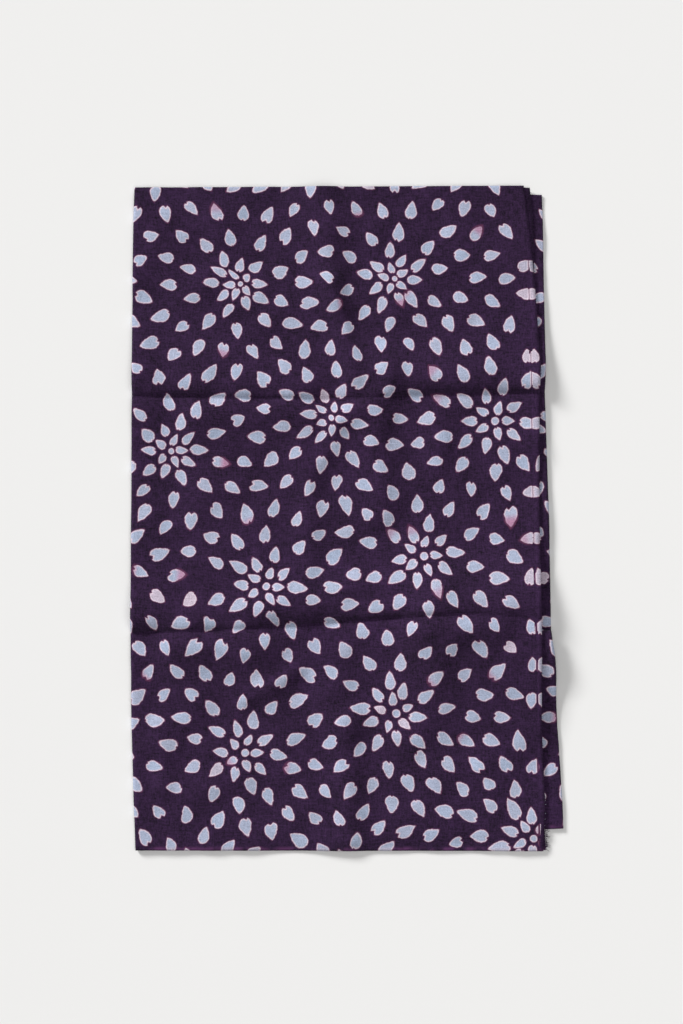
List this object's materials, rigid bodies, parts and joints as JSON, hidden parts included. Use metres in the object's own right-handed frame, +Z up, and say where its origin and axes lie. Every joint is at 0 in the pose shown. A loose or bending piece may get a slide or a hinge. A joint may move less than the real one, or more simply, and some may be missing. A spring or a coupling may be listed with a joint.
{
  "type": "folded tenugui towel",
  "caption": "Thin plain-woven cotton hand towel, folded in half twice into a flat stack, with soft cross creases and a caught pleat at the right fold.",
  "frame": {"origin": "under the middle of the folded towel, on the surface that it lies on", "axes": "+X towards the side with the two cut ends, +Y towards the upper selvedge, +Z up"},
  "size_m": [0.2348, 0.3604, 0.0138],
  "materials": {
    "dyed_cotton": "matt plain weave, dyed through, pale petals on a dark purple ground"
  },
  "bodies": {
    "root": {"towel": "dyed_cotton"}
  },
  "joints": []
}
